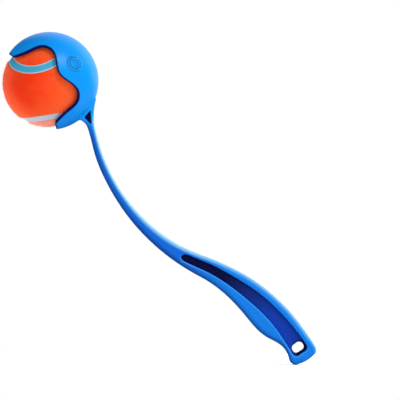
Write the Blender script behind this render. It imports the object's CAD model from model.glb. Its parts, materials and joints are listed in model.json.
import json
import math

import bmesh
import bpy
import numpy as np
from bpy.props import FloatProperty, FloatVectorProperty, IntProperty, PointerProperty
from mathutils import Matrix, Vector


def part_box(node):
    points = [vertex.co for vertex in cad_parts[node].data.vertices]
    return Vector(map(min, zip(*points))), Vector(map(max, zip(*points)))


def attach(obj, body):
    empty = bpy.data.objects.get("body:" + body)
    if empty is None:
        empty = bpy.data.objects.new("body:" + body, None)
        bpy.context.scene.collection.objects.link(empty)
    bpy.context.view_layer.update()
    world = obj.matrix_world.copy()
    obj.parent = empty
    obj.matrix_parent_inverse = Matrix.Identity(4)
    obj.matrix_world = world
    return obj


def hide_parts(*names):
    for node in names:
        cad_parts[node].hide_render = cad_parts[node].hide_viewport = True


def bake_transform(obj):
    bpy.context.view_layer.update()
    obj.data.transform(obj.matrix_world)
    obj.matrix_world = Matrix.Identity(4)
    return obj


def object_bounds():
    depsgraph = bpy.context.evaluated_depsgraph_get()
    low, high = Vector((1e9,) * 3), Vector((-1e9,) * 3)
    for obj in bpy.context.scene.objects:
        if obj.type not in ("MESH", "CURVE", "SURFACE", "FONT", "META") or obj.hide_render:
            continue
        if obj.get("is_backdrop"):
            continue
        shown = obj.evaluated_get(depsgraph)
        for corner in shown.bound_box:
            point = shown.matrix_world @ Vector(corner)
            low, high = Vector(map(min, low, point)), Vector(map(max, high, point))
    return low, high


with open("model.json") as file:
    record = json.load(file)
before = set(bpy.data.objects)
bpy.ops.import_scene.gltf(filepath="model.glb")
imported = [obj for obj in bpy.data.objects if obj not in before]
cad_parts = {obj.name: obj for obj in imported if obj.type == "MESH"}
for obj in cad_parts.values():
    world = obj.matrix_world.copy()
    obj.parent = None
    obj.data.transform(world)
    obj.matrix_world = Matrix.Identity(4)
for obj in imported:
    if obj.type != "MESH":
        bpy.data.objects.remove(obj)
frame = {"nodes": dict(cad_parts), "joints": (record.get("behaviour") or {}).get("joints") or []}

bl_info = {
    "name": "Ball Launcher",
    "version": (1, 0, 0),
    "blender": (4, 5, 0),
    "location": "View3D > Sidebar > Launcher",
    "description": "Dresses the frame of a ball launcher with its moulding, felt ball and studio",
    "category": "Add Mesh",
}

CAD_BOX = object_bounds()


def joint(name):
    """Row of the frame's joint of that name."""
    return next(row for row in frame["joints"] if row["name"] == name)


# Places that come from the frame: the ball from its felt, the mouth from the way that the ball leaves
FELT_BOXES = [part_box("felt_panel_a"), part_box("felt_panel_b")]
BALL_LOW = np.min([low for low, high in FELT_BOXES], axis=0)
BALL_HIGH = np.max([high for low, high in FELT_BOXES], axis=0)
BALL_CENTRE = (BALL_LOW + BALL_HIGH) / 2
BALL_RADIUS = float(BALL_HIGH[2] - BALL_LOW[2]) / 2
CUP_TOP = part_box("ball_cup")[1]
MOUTH = np.array(joint("ball_release")["axis"])
CUP_BACK_ANGLE = math.atan2(-MOUTH[2], -MOUTH[0])
FLOOR_LEVEL = CAD_BOX[0].z


def length(name, description, default):
    """Length property, in metres."""
    return FloatProperty(
        name=name, description=description, default=default, unit="LENGTH", precision=5
    )


def angle(name, description, degrees):
    """Angle property."""
    return FloatProperty(
        name=name, description=description, default=math.radians(degrees), unit="ROTATION"
    )


def share(name, description, default):
    """Property without a unit."""
    return FloatProperty(name=name, description=description, default=default, subtype="FACTOR")


def shares(name, description, *values):
    """Row of values without a unit."""
    return FloatVectorProperty(name=name, description=description, default=values, size=len(values))


def lengths(name, description, *values):
    """Row of lengths, in metres."""
    return FloatVectorProperty(
        name=name, description=description, default=values, size=len(values), unit="LENGTH", precision=5
    )


def power(name, description, default):
    """Power property, in watts."""
    return FloatProperty(name=name, description=description, default=default, unit="POWER")


def colour(name, description, *values):
    """Colour property, linear."""
    return FloatVectorProperty(
        name=name, description=description, default=values, size=3, subtype="COLOR", min=0, max=1
    )


class StemSizes(bpy.types.PropertyGroup):
    """Sizes of the arm and the handle."""

    arm_length: length("Arm length", "From the junction with the handle to the cup's root", 0.1364)
    arm_turn: angle("Arm turn", "How far the arm's line turns along its length", 54.8)
    handle_length: length("Handle length", "From the junction to the handle's end", 0.1046)
    handle_turn: angle("Handle turn", "How far the handle's line turns back", 34.9)
    junction_heading: angle("Junction heading", "Lean of the line where arm and handle meet", 66)
    grip_station: length("Grip station", "From the junction to the middle of the grip", 0.035)
    tip_thickness: length("Tip thickness", "Arm's thickness at the cup", 0.0052)
    junction_thickness: length("Junction thickness", "Arm's thickness at the handle", 0.0152)
    swell_power: share("Swell power", "How late the arm thickens towards the handle", 2.3)
    front_share: share("Front share", "Share of the thickness in front of the line, at the handle", 0.44)
    tip_front_share: share("Tip front share", "Share of the thickness in front of the line, at the cup", 0.52)
    tip_depth: length("Tip depth", "Arm's depth at the cup", 0.014)
    handle_depth: length("Handle depth", "Depth between the handle's flat sides", 0.022)
    side_trim: length("Side trim", "What the flat sides take off the rounded bar", 0.0005)
    tip_rounding: length("Tip rounding", "Rounding of the arm's edges at the cup", 0.0022)
    handle_rounding: length("Handle rounding", "Rounding of the handle's edges", 0.0046)
    handle_front: length("Handle front", "Greatest reach of the handle in front of its line", 0.0153)
    handle_back: length("Handle back", "Greatest reach of the handle behind its line", 0.0114)
    arm_shares: shares(
        "Arm stations", "Shares of the arm's length, from its tip", 1, 0.86, 0.7, 0.5, 0.32, 0.16
    )
    handle_shares: shares(
        "Handle stations", "Shares of the handle's length",
        0, 0.12, 0.27, 0.45, 0.59, 0.69, 0.79, 0.87, 0.94, 1
    )
    front_shares: shares(
        "Handle front shares", "Front at those stations",
        0.44, 0.51, 0.66, 0.88, 0.99, 0.9, 0.66, 0.625, 0.745, 0.78
    )
    back_shares: shares(
        "Handle back shares", "Back at those stations",
        0.75, 0.82, 0.92, 0.99, 1, 0.99, 0.95, 0.93, 0.91, 0.88
    )
    end_arc: length("End arc", "Radius of the handle's bowed end", 0.027)
    end_rounding: length("End rounding", "Rounding of the edges at the handle's end", 0.0034)
    web: length("Web", "Thickness of the web between the two recesses", 0.004)
    recess_top: length("Recess top", "How far the recess runs up past the junction", 0.0181)
    recess_end_wall: length("Recess end wall", "Wall between the recess and the handle's end", 0.0065)
    recess_front: length("Recess front", "Greatest reach of the recess in front of the line", 0.0068)
    recess_back: length("Recess back", "Greatest reach of the recess behind the line", 0.0061)
    recess_shares: shares(
        "Recess stations", "Shares of the recess's length", 0, 0.16, 0.3, 0.53, 0.76, 0.88, 1
    )
    recess_front_shares: shares(
        "Recess front shares", "Front edge at those stations", 0.31, 0.184, 0.268, 0.485, 0.667, 0.864, 1
    )
    recess_back_shares: shares(
        "Recess back shares", "Back edge at those stations", 0.5, 0.757, 0.778, 0.918, 0.93, 0.915, 0.89
    )
    recess_head: length("Recess head", "Rounding of the recess's outline towards the arm", 0.0045)
    recess_foot: length("Recess foot", "Rounding of the recess's outline at the handle's end", 0.0042)
    edge_rounding: length("Edge rounding", "Rounding of the recess's edges", 0.0013)
    hole_rounding: length("Hole rounding", "Rounding of the hang hole's edges", 0.0006)
    floor_rounding: length("Floor rounding", "Fillet round the recess's floor", 0.0012)
    hole_width: length("Hole width", "Width of the hang hole", 0.0088)
    hole_length: length("Hole length", "Length of the hang hole", 0.0065)
    hole_corner: length("Hole corner", "Rounding of the hang hole's foot", 0.003)
    hole_head: length("Hole head", "Rounding of the hang hole's corners towards the arm", 0.003)
    hole_setback: length("Hole setback", "From the recess's end wall to the hang hole's foot", 0.0022)


class CupSizes(bpy.types.PropertyGroup):
    """Sizes of the cup, its lips and its root."""

    slack: length("Slack", "Room between the ball and the cup's inside", 0.0013)
    wall: length("Wall", "Thickness of the cup's wall", 0.0024)
    lip_spread: angle("Lip spread", "From the cup's back to a lip's tip", 114.4)
    lip_tip: share("Lip tip", "Corner of a lip's tip from the centre, of the outer radius", 0.878)
    tip_rounding: share("Lip tip rounding", "Rounding of a lip's corners, of the outer radius", 0.05)
    lip_middle: shares(
        "Lip middle", "Middle of a lip's edge, along and across, of the outer radius", -0.02, 0.73
    )
    lip_root: shares("Lip root", "Foot of a lip's edge, along and across, of the outer radius", 0.29, 0.648)
    notch: shares("Notch", "Bottom of a notch, along and across, of the outer radius", 0.384, 0.486)
    shoulder: shares("Shoulder", "Side of an ear, along and across, of the outer radius", 0.348, 0.287)
    ear: share("Ear", "Tip of an ear, of the outer radius", 0.257)
    rim_rounding: length("Rim rounding", "Rounding of the rim's edges", 0.00095)
    upper_cut: angle("Upper lip root", "Where the upper lip starts to spring", 66)
    lower_cut: angle("Lower lip root", "Where the lower lip starts to spring", -88)
    upper_spring: length("Upper lip spring", "Length over which the upper lip bends", 0.016)
    lower_spring: length("Lower lip spring", "Length over which the lower lip bends", 0.01)
    root_stations: lengths(
        "Root stations", "Places of the root past the arm's tip",
        0.022, 0.0125, 0.0096, 0.0072, 0.0046, 0.0023
    )
    root_front: lengths(
        "Root front", "Root's reach in front at those places",
        0.013, 0.0106, 0.0086, 0.0065, 0.0041, 0.0031
    )
    root_back: lengths(
        "Root back", "Root's reach behind at those places",
        0.0056, 0.0035, 0.00305, 0.00275, 0.00255, 0.0025
    )
    root_fillet: length("Root fillet", "Fillet where the root runs into the cup", 0.002)
    root_web: length("Root web", "Thickness of the web between the root's pockets", 0.003)
    pocket_rise: length("Pocket rise", "From the arm's tip to the pocket's lower corner", 0.0033)
    pocket_shift: length("Pocket shift", "Pocket's lower corner behind the arm's line", 0.0003)
    pocket_slopes: shares("Pocket slopes", "Slopes of the pocket's front and back sides", 0.75, 0.08)
    pocket_wall: length("Pocket wall", "Wall between the pocket and the cup's outside", 0.0014)
    pocket_corner: length("Pocket corner", "Rounding of the pocket's lower corner", 0.0008)
    pocket_head: length("Pocket head", "Rounding of the pocket's corners along the cup", 0.0012)
    pocket_floor: length("Pocket floor", "Fillet round the pocket's floor", 0.0008)
    pocket_edge: length("Pocket edge", "Rounding of the pocket's edges", 0.0009)
    badge_way: shares("Badge way", "Direction of the round badge from the cup's centre", 0.516, -0.782, 0.349)
    badge_radii: lengths("Badge radii", "Radii of the badge's raised rings", 0.0055, 0.0035)
    badge_width: length("Badge width", "Width of the badge's raised rings", 0.0008)
    badge_height: length("Badge height", "How far the badge's rings stand out, with their feet", 0.0018)


class BallSizes(bpy.types.PropertyGroup):
    """Sizes of the ball."""

    felt: length("Felt", "Thickness of the felt", 0.0032)
    seam_width: length("Seam width", "Width of the seam band", 0.0064)
    seam_recess: length("Seam recess", "How far the seam lies below the felt", 0.0006)
    felt_edge: length("Felt edge", "Rounding of the felt along the seam", 0.0011)
    seam_swing: share("Seam swing", "Main turn of the seam's curve", 0.8)
    seam_ripple: share("Seam ripple", "Triple turn of the seam's curve", 0.2)
    seam_tilt: FloatVectorProperty(
        name="Seam tilt", description="How the ball lies in the cup",
        size=3, subtype="EULER", unit="ROTATION",
        default=tuple(math.radians(x) for x in (-70.9, 8.0, -56.5)),
    )
    seam_corner: length("Seam corner", "Rounding of the seam band's edges", 0.0005)
    seam_points: IntProperty(name="Seam points", description="Points along the seam band", default=240)
    nap_density: FloatProperty(
        name="Nap density", description="Fibres on a square metre of felt", default=1.9e6
    )
    nap_length: length("Nap length", "Length of a fibre", 0.0011)
    nap_thickness: length("Nap thickness", "Half the thickness of a fibre's foot", 0.00007)
    nap_sizes: shares("Nap sizes", "Least and greatest share of a fibre's length and thickness", 0.55, 1.25)
    nap_lean: share("Nap lean", "How flat the fibres lie", 1.6)
    nap_seed: IntProperty(name="Nap seed", description="Seed of the fibres' places", default=7)


class Finishes(bpy.types.PropertyGroup):
    """Colours and gloss."""

    cup_blue: colour("Cup blue", "Plastic of the thin cup", 0.001, 0.3, 0.9)
    stem_blue: colour("Stem blue", "Plastic of the arm and handle", 0, 0.122, 0.62)
    recess_dark: colour("Recess dark", "Deep upper end of the recess", 0.0, 0.002, 0.09)
    recess_blue: colour("Recess blue", "Open lower end of the recess", 0.0, 0.07, 0.6)
    edge_blue: colour("Edge blue", "Rubbed edges of the plastic", 0.06, 0.36, 0.95)
    edge_wear: share("Edge wear", "How far the edges along the recess are rubbed", 0.75)
    edge_pale: colour("Edge pale", "Pale back edge of the arm and handle", 0.36, 0.84, 1)
    felt_orange: colour("Felt orange", "Felt in the open", 0.93, 0.036, 0.005)
    felt_warm: colour("Felt warm", "Felt towards the cup", 0.95, 0.115, 0.025)
    felt_light: colour("Felt light", "Lighter patches and fibre tips of the felt", 0.96, 0.12, 0.03)
    fibre_light: share("Fibre light", "How much lighter the fibres are than the felt", 0.5)
    felt_worn: colour("Felt worn", "Rubbed felt on the ball's underside", 0.92, 0.36, 0.26)
    seam_blue: colour("Seam blue", "Middle of the seam band", 0.055, 0.4, 0.62)
    seam_pale: colour("Seam pale", "Edges of the seam band", 0.5, 0.62, 0.7)
    seam_worn: colour("Seam worn", "Rubbed seam band on the ball's underside", 0.62, 0.58, 0.64)
    core_grey: colour("Core grey", "Rubber of the core", 0.03, 0.028, 0.026)
    gloss: share("Plastic roughness", "Roughness of the plastic", 0.32)
    shine: share("Plastic shine", "Strength of the plastic's reflections", 0.18)


class StageSettings(bpy.types.PropertyGroup):
    """Camera, floor and lights."""

    aim: FloatVectorProperty(
        name="Aim", description="Point in the middle of the picture", size=3, subtype="TRANSLATION",
        unit="LENGTH", default=(-0.0323, 0, 0.0674),
    )
    distance: length("Distance", "From the camera to the launcher's middle plane", 8)
    field: length("Field", "Width of the picture in the launcher's middle plane", 0.2954)
    floor_size: length("Floor size", "Side of the floor", 1.2)
    floor_tone: colour("Floor tone", "Colour of the floor", 0.9, 0.9, 0.9)
    floor_lift: share("Floor lift", "White added to the floor near the launcher, as seen directly", 0.22)
    floor_fade: lengths("Floor fade", "How far off the floor starts to turn white, and is white", 0.25, 0.5)
    ambient: share("Ambient", "Strength of the light from all round", 0.4)
    mirror_way: shares("Mirrored way", "Direction of the white that the plastic mirrors", 0.4, 0.8, 0.45)
    mirror_span: shares(
        "Mirrored span", "Where towards that direction the white starts, and is full", 0.74, 0.88
    )
    key_power: power("Key power", "Power of the light in front, from the upper right", 3.8)
    key_place: lengths("Key place", "Place of that light from the aim", 0.3, -0.52, 0.8)
    key_size: lengths("Key size", "Width and height of that light", 0.34, 0.34)
    fill_power: power("Fill power", "Power of the light straight in front", 3.2)
    fill_place: lengths("Fill place", "Place of that light from the aim", 0, -0.97, 0.1)
    fill_size: lengths("Fill size", "Width and height of that light", 0.5, 0.5)
    rim_power: power("Rim power", "Power of the light behind, from the right", 6.5)
    rim_place: lengths("Rim place", "Place of that light from the aim", 0.5, 0.5, 0.35)
    rim_size: lengths("Rim size", "Width and height of that light", 0.3, 0.6)
    low_rim_power: power("Low rim power", "Power of the light behind, from the lower left", 2)
    low_rim_place: lengths("Low rim place", "Place of that light from the aim", -0.55, 0.3, -0.03)
    low_rim_size: lengths("Low rim size", "Width and height of that light", 0.25, 0.15)


class LauncherSettings(bpy.types.PropertyGroup):
    """All settings of the launcher."""

    stem: PointerProperty(type=StemSizes, name="Stem", description="Arm and handle")
    cup: PointerProperty(type=CupSizes, name="Cup", description="Cup, lips and root")
    ball: PointerProperty(type=BallSizes, name="Ball", description="Felt ball")
    finish: PointerProperty(type=Finishes, name="Finish", description="Colours and gloss")
    stage: PointerProperty(type=StageSettings, name="Stage", description="Camera, floor and lights")


MM = 0.001
TINY = 1e-12
FULL_TURN = 2 * math.pi

# Fineness of the meshes, of the slopes measured on them and of the tables and lines that they follow
VOXEL = 0.00066
FELT_VOXEL = 0.00085
GRADIENT_STEP = 0.00004
EDGE_STEP = 0.0006
LEAST_SLOPE = 1e-6
SLAB = 12
STEM_STEPS = 1200
RECESS_STEPS = 600
MOUTH_STEPS = 72
LIP_CORNER_STEPS = 8
SEAM_STEPS = 96
RING_POINTS = 72

# The moulding: most rounding as a share of the thickness, the share of the bowed end's radius over which it
# ends the handle, where the edges' rounding changes before the handle's end, and how far from the wall the
# rim is worked out
ROUNDING_SHARE = 0.44
END_SHARE = 0.7
END_ROUNDING_RUN = (-16 * MM, -6 * MM)
RIM_REACH = 4 * MM

# The mouth's outline: how far it runs past a lip's tip, and past the whole cup, as shares of the outer radius
PAST_LIP_SHARE = 2
PAST_CUP_SHARE = 4

# The lips: room before a cut, the turn that both lips end before, and how close a point counts as on the cut
LIP_MARGIN = 0.2
LIP_END_TURN = 2.4
ON_CUT = 1e-7

# The arm's bend, as shares of the arm's length from the junction
BEND_START_SHARE = 0.5
BEND_END_SHARE = 0.8


# Distance fields, whose zero level is a surface and which are negative inside it


def smooth_max(a, b, blend):
    """Larger of two distances, rounded where they cross."""
    near = np.maximum(blend - np.abs(a - b), 0) / blend
    return np.maximum(a, b) + near * near * blend / 4


def smooth_min(a, b, blend):
    """Smaller of two distances, filleted where they cross."""
    return -smooth_max(-a, -b, blend)


def rise(values, first, last):
    """Straight rise from nought at the first value to one at the last, which may be the smaller."""
    return np.clip((values - first) / (last - first), 0, 1)


def soft_rise(values, first, last):
    """Rise from nought at the first value to one at the last, soft at both ends."""
    part = rise(values, first, last)
    return part * part * (3 - 2 * part)


def rounded_overlap(radius, *distances):
    """Distance to the overlap of several forms, with its edges rounded to a radius."""
    inner = [d + radius for d in distances]
    deepest = inner[0]
    square = np.maximum(inner[0], 0) ** 2
    for d in inner[1:]:
        deepest = np.maximum(deepest, d)
        square = square + np.maximum(d, 0) ** 2
    return np.minimum(deepest, 0) + np.sqrt(square) - radius


def smooth_table(stations, values, grid):
    """Values on a grid of stations, on a natural cubic through the given ones."""
    x = np.asarray(stations, float)
    y = np.asarray(values, float)
    gap = np.diff(x)
    system = np.eye(len(x))
    right = np.zeros(len(x))
    for i in range(1, len(x) - 1):
        system[i, i - 1 : i + 2] = gap[i - 1], 2 * (gap[i - 1] + gap[i]), gap[i]
        right[i] = 6 * ((y[i + 1] - y[i]) / gap[i] - (y[i] - y[i - 1]) / gap[i - 1])
    bend = np.linalg.solve(system, right)
    i = np.clip(np.searchsorted(x, grid) - 1, 0, len(x) - 2)
    h = gap[i]
    after = grid - x[i]
    before = x[i + 1] - grid
    cubic = (bend[i] * before**3 + bend[i + 1] * after**3) / (6 * h)
    return cubic + (y[i] / h - bend[i] * h / 6) * before + (y[i + 1] / h - bend[i + 1] * h / 6) * after


def polar(radius, turn):
    """Point of the cup's side plane at an angle from its back."""
    return np.stack([radius * np.cos(turn), radius * np.sin(turn)], -1)


class LauncherForm:
    """Distance field of the one-piece moulding, from its sizes."""

    def __init__(self, stem, cup):
        self.stem = stem
        self.cup = cup
        self.bends = (stem.arm_turn / stem.arm_length, -stem.handle_turn / stem.handle_length)
        self.grip = self.from_junction(stem.grip_station)
        self.inner = BALL_RADIUS + cup.slack
        self.outer = self.inner + cup.wall
        self.wall_middle = (self.inner + self.outer) / 2
        self.centre = np.array([CUP_TOP.x - self.outer, 0, CUP_TOP.z - self.outer])
        self.back = np.array([math.cos(CUP_BACK_ANGLE), math.sin(CUP_BACK_ANGLE)])
        end = self.point(stem.handle_length)
        heading = stem.junction_heading - stem.handle_turn
        self.end_middle = (end.x - stem.end_arc * math.sin(heading), end.z + stem.end_arc * math.cos(heading))
        self.make_tables()
        self.make_mouth()

    def from_junction(self, station):
        """Point of the stem's line in the side plane, from the junction."""
        bend = self.bends[0] if station < 0 else self.bends[1]
        start = self.stem.junction_heading
        turn = start + bend * station
        x = (math.cos(start) - math.cos(turn)) / bend
        z = (math.sin(start) - math.sin(turn)) / bend
        return np.array([x, z])

    def point(self, station):
        """Point of the stem's line in space."""
        x, z = self.from_junction(station) - self.grip
        return Vector((x, 0, z))

    def locate(self, x, z):
        """Station along the stem's line, and distance behind it, of points of the side plane."""
        x = x + self.grip[0]
        z = z + self.grip[1]
        start = self.stem.junction_heading
        found = []
        for bend in self.bends:
            side = math.copysign(1, bend)
            u = x - math.cos(start) / bend
            v = z - math.sin(start) / bend
            station = (np.arctan2(-side * v, -side * u) - start) / bend
            found.append((station, 1 / bend - side * np.hypot(u, v)))
        on_arm = x * math.sin(start) - z * math.cos(start) < 0
        (arm_station, arm_back), (handle_station, handle_back) = found
        return np.where(on_arm, arm_station, handle_station), np.where(on_arm, arm_back, handle_back)

    def make_tables(self):
        """Front, back, depth and rounding of the stem, and the edges of the recess, along its line."""
        stem = self.stem
        cup = self.cup
        tip = -stem.arm_length
        stations = [tip - x for x in cup.root_stations]
        front = list(cup.root_front)
        back = list(cup.root_back)
        for part in stem.arm_shares:
            swell = (stem.junction_thickness - stem.tip_thickness) * (1 - part) ** stem.swell_power
            thickness = stem.tip_thickness + swell
            stations.append(tip * part)
            ahead = stem.front_share + (stem.tip_front_share - stem.front_share) * part
            front.append(thickness * ahead)
            back.append(thickness * (1 - ahead))
        stations += [x * stem.handle_length for x in stem.handle_shares]
        front += [x * stem.handle_front for x in stem.front_shares]
        back += [x * stem.handle_back for x in stem.back_shares]
        self.grid = np.linspace(stations[0], stations[-1], STEM_STEPS)
        self.front = smooth_table(stations, front, self.grid)
        self.back_reach = smooth_table(stations, back, self.grid)
        part = np.clip(-self.grid / stem.arm_length, 0, 1)
        full = stem.handle_depth + 2 * stem.side_trim
        self.half_depth = (full + (stem.tip_depth - full) * part) / 2
        self.rounding = stem.handle_rounding + (stem.tip_rounding - stem.handle_rounding) * part
        near_end = soft_rise(self.grid - stem.handle_length, *END_ROUNDING_RUN)
        self.rounding += (stem.end_rounding - stem.handle_rounding) * near_end
        self.recess_end = stem.handle_length - stem.recess_end_wall
        run = self.recess_end + stem.recess_top
        stations = [-stem.recess_top + x * run for x in stem.recess_shares]
        self.recess_grid = np.linspace(stations[0], stations[-1], RECESS_STEPS)
        front = np.array(stem.recess_front_shares) * stem.recess_front
        back = np.array(stem.recess_back_shares) * stem.recess_back
        self.recess_front = smooth_table(stations, front, self.recess_grid)
        self.recess_back = smooth_table(stations, back, self.recess_grid)

    def make_mouth(self):
        """Upper half of the mouth's outline in the cup's side plane, from the ear to far past the lip."""
        cup = self.cup
        tip = polar(cup.lip_tip * self.outer, cup.lip_spread)
        far = polar(PAST_LIP_SHARE * self.outer, cup.lip_spread)
        inwards = (cup.lip_middle, cup.lip_root, cup.notch, cup.shoulder)
        side = [tip] + [np.array(p) * self.outer for p in inwards]
        ear = np.array([cup.ear * self.outer, 0])
        wave = np.array(side + [ear] + [p * (1, -1) for p in reversed(side)])
        run = np.concatenate([[0], np.cumsum(np.linalg.norm(np.diff(wave, axis=0), axis=1))])
        fine = np.linspace(run[len(side)], 0, MOUTH_STEPS)
        curve = np.stack([smooth_table(run, wave[:, k], fine) for k in (0, 1)], -1)
        inward, outward = unit(np.array([curve[-2] - tip, far - tip]))
        reach = cup.tip_rounding * self.outer * math.sqrt((1 + inward @ outward) / (1 - inward @ outward))
        t = np.linspace(0, 1, LIP_CORNER_STEPS)[:, None]
        corner = tip + reach * ((1 - t) ** 2 * inward + t**2 * outward)
        curve = curve[np.linalg.norm(curve - tip, axis=1) > reach]
        self.mouth = np.concatenate([curve, corner, far[None]])

    def mouth_distance(self, p, q):
        """Distance in the cup's side plane from the mouth's outline, negative on the cup's side."""
        q = np.abs(q)
        start = self.mouth[:-1]
        step = np.diff(self.mouth, axis=0)
        u = p[:, None] - start[:, 0]
        v = q[:, None] - start[:, 1]
        t = np.clip((u * step[:, 0] + v * step[:, 1]) / (step**2).sum(1), 0, 1)
        square = (u - t * step[:, 0]) ** 2 + (v - t * step[:, 1]) ** 2
        near = square.argmin(1)
        distance = np.sqrt(square[np.arange(len(p)), near])
        beyond = -PAST_CUP_SHARE * self.outer
        ends = np.vstack([self.mouth, [beyond, self.mouth[-1, 1]], [beyond, 0]])
        inside = np.zeros(len(p), bool)
        for (ax, ay), (bx, by) in zip(ends, np.roll(ends, -1, 0)):
            if ay != by:
                crosses = (ay > q) != (by > q)
                inside ^= crosses & (p < (bx - ax) * (q - ay) / (by - ay) + ax)
        return np.where(inside, distance, -distance)

    def recess_outline(self, station, back):
        """Distance from the recess's side outline."""
        edge_front = -back - np.interp(station, self.recess_grid, self.recess_front)
        edge_back = back - np.interp(station, self.recess_grid, self.recess_back)
        across = np.maximum(edge_front, edge_back)
        top = smooth_max(across, -station - self.stem.recess_top, self.stem.recess_head)
        return smooth_max(top, station - self.recess_end, self.stem.recess_foot)

    def hole_outline(self, station, back):
        """Distance from the hang hole's side outline, rounder towards the arm than at its foot."""
        stem = self.stem
        middle = (self.recess_back[-1] - self.recess_front[-1]) / 2
        up = self.recess_end - stem.hole_setback - station
        across = np.abs(back - middle) - stem.hole_width / 2
        head = rounded_overlap(stem.hole_head, across, up - stem.hole_length)
        return smooth_max(head, -up, stem.hole_corner)

    def pocket_outline(self, station, back):
        """Distance from the side outline of the root's pocket, without its edge along the cup."""
        cup = self.cup
        up = -station - self.stem.arm_length - cup.pocket_rise
        across = back - cup.pocket_shift
        front_slope, back_slope = cup.pocket_slopes
        front = (-across - front_slope * up) / math.hypot(1, front_slope)
        behind = (across - back_slope * up) / math.hypot(1, back_slope)
        return smooth_max(front, behind, cup.pocket_corner)

    def stem_distance(self, x, y, z):
        """Arm, handle and root, with the recesses, hang hole and pockets taken out."""
        stem = self.stem
        cup = self.cup
        y = np.abs(y)
        station, back = self.locate(x, z)
        tables = (self.front, self.back_reach, self.half_depth, self.rounding)
        front, behind, half_depth, rounding = (np.interp(station, self.grid, table) for table in tables)
        step = self.grid[1] - self.grid[0]
        front_slope = np.interp(station, self.grid, np.gradient(self.front, step))
        back_slope = np.interp(station, self.grid, np.gradient(self.back_reach, step))
        across = np.maximum(
            (-back - front) / np.hypot(1, front_slope), (back - behind) / np.hypot(1, back_slope)
        )
        rounding = np.minimum(rounding, ROUNDING_SHARE * (front + behind))
        end_x, end_z = self.end_middle
        end = station - stem.handle_length
        bowed = np.hypot(x - end_x, z - end_z) - stem.end_arc
        end = np.where(end > -END_SHARE * stem.end_arc, bowed, end)
        bar = rounded_overlap(rounding, across, end, y - half_depth)
        bar = smooth_max(bar, y - stem.handle_depth / 2, 2 * stem.side_trim)
        recess = smooth_max(self.recess_outline(station, back), stem.web / 2 - y, stem.floor_rounding)
        bar = smooth_max(bar, -recess, stem.edge_rounding)
        bar = smooth_max(bar, -self.hole_outline(station, back), stem.hole_rounding)
        radius = self.radius(x, y, z)
        pocket = self.pocket_outline(station, back)
        pocket = smooth_max(pocket, self.outer + cup.pocket_wall - radius, cup.pocket_head)
        pocket = smooth_max(pocket, cup.root_web / 2 - y, cup.pocket_floor)
        bar = smooth_max(bar, -pocket, cup.pocket_edge)
        bar = np.maximum(bar, -station - stem.arm_length - cup.root_stations[0])
        return np.maximum(bar, self.wall_middle - radius)

    def radius(self, x, y, z):
        """Distance from the cup's centre."""
        return np.sqrt((x - self.centre[0]) ** 2 + y**2 + (z - self.centre[2]) ** 2)

    def along_and_across(self, x, z):
        """Places along and across the cup's axis in its side plane, from its centre."""
        u = x - self.centre[0]
        w = z - self.centre[2]
        return u * self.back[0] + w * self.back[1], w * self.back[0] - u * self.back[1]

    def cup_distance(self, x, y, z):
        """Cup and lips: a shell whose rim is square to its wall."""
        radius = self.radius(x, y, z)
        shell = np.abs(radius - self.wall_middle) - self.cup.wall / 2
        distance = shell.copy()
        near = shell < RIM_REACH
        x, z = (np.broadcast_to(value, shell.shape)[near] for value in (x, z))
        p, q = self.along_and_across(x, z)
        scale = self.outer / np.maximum(radius[near], MM)
        mouth = self.mouth_distance(p * scale, q * scale)
        distance[near] = rounded_overlap(self.cup.rim_rounding, shell[near], mouth)
        return distance

    def rim_distance(self, points):
        """Distance of points from the cup's rim, negative on the cup's side and far from it off the cup."""
        radius = self.radius(*points.T)
        near = np.abs(radius - self.wall_middle) < self.cup.wall
        p, q = self.along_and_across(points[near, 0], points[near, 2])
        scale = self.outer / radius[near]
        distance = np.full(len(points), -self.outer)
        distance[near] = self.mouth_distance(p * scale, q * scale)
        return distance

    def distance(self, x, y, z):
        """The whole moulding."""
        return smooth_min(self.stem_distance(x, y, z), self.cup_distance(x, y, z), self.cup.root_fillet)

    def at(self, points):
        """Distance at each of a list of points."""
        return self.distance(points[:, 0], points[:, 1], points[:, 2])


def gradient(field, points, step=GRADIENT_STEP):
    """Slope of a field at points, and its value there, from four corners of a small tetrahedron."""
    corners = np.array([(1, 1, 1), (1, -1, -1), (-1, 1, -1), (-1, -1, 1)]) * step
    slope = np.zeros_like(points)
    value = np.zeros(len(points))
    for corner in corners:
        d = field(points + corner)
        slope += d[:, None] * corner
        value += d / 4
    return slope / (4 * step * step), value


def unit(vectors):
    """Vectors of length one."""
    return vectors / np.maximum(np.linalg.norm(vectors, axis=1, keepdims=True), TINY)


def settle(field, points, limit):
    """Points moved onto the field's zero level."""
    for _ in range(2):
        slope, value = gradient(field, points)
        move = slope * (value / np.maximum((slope**2).sum(1), LEAST_SLOPE))[:, None]
        points = points - np.clip(move, -limit, limit)
    return points


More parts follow.
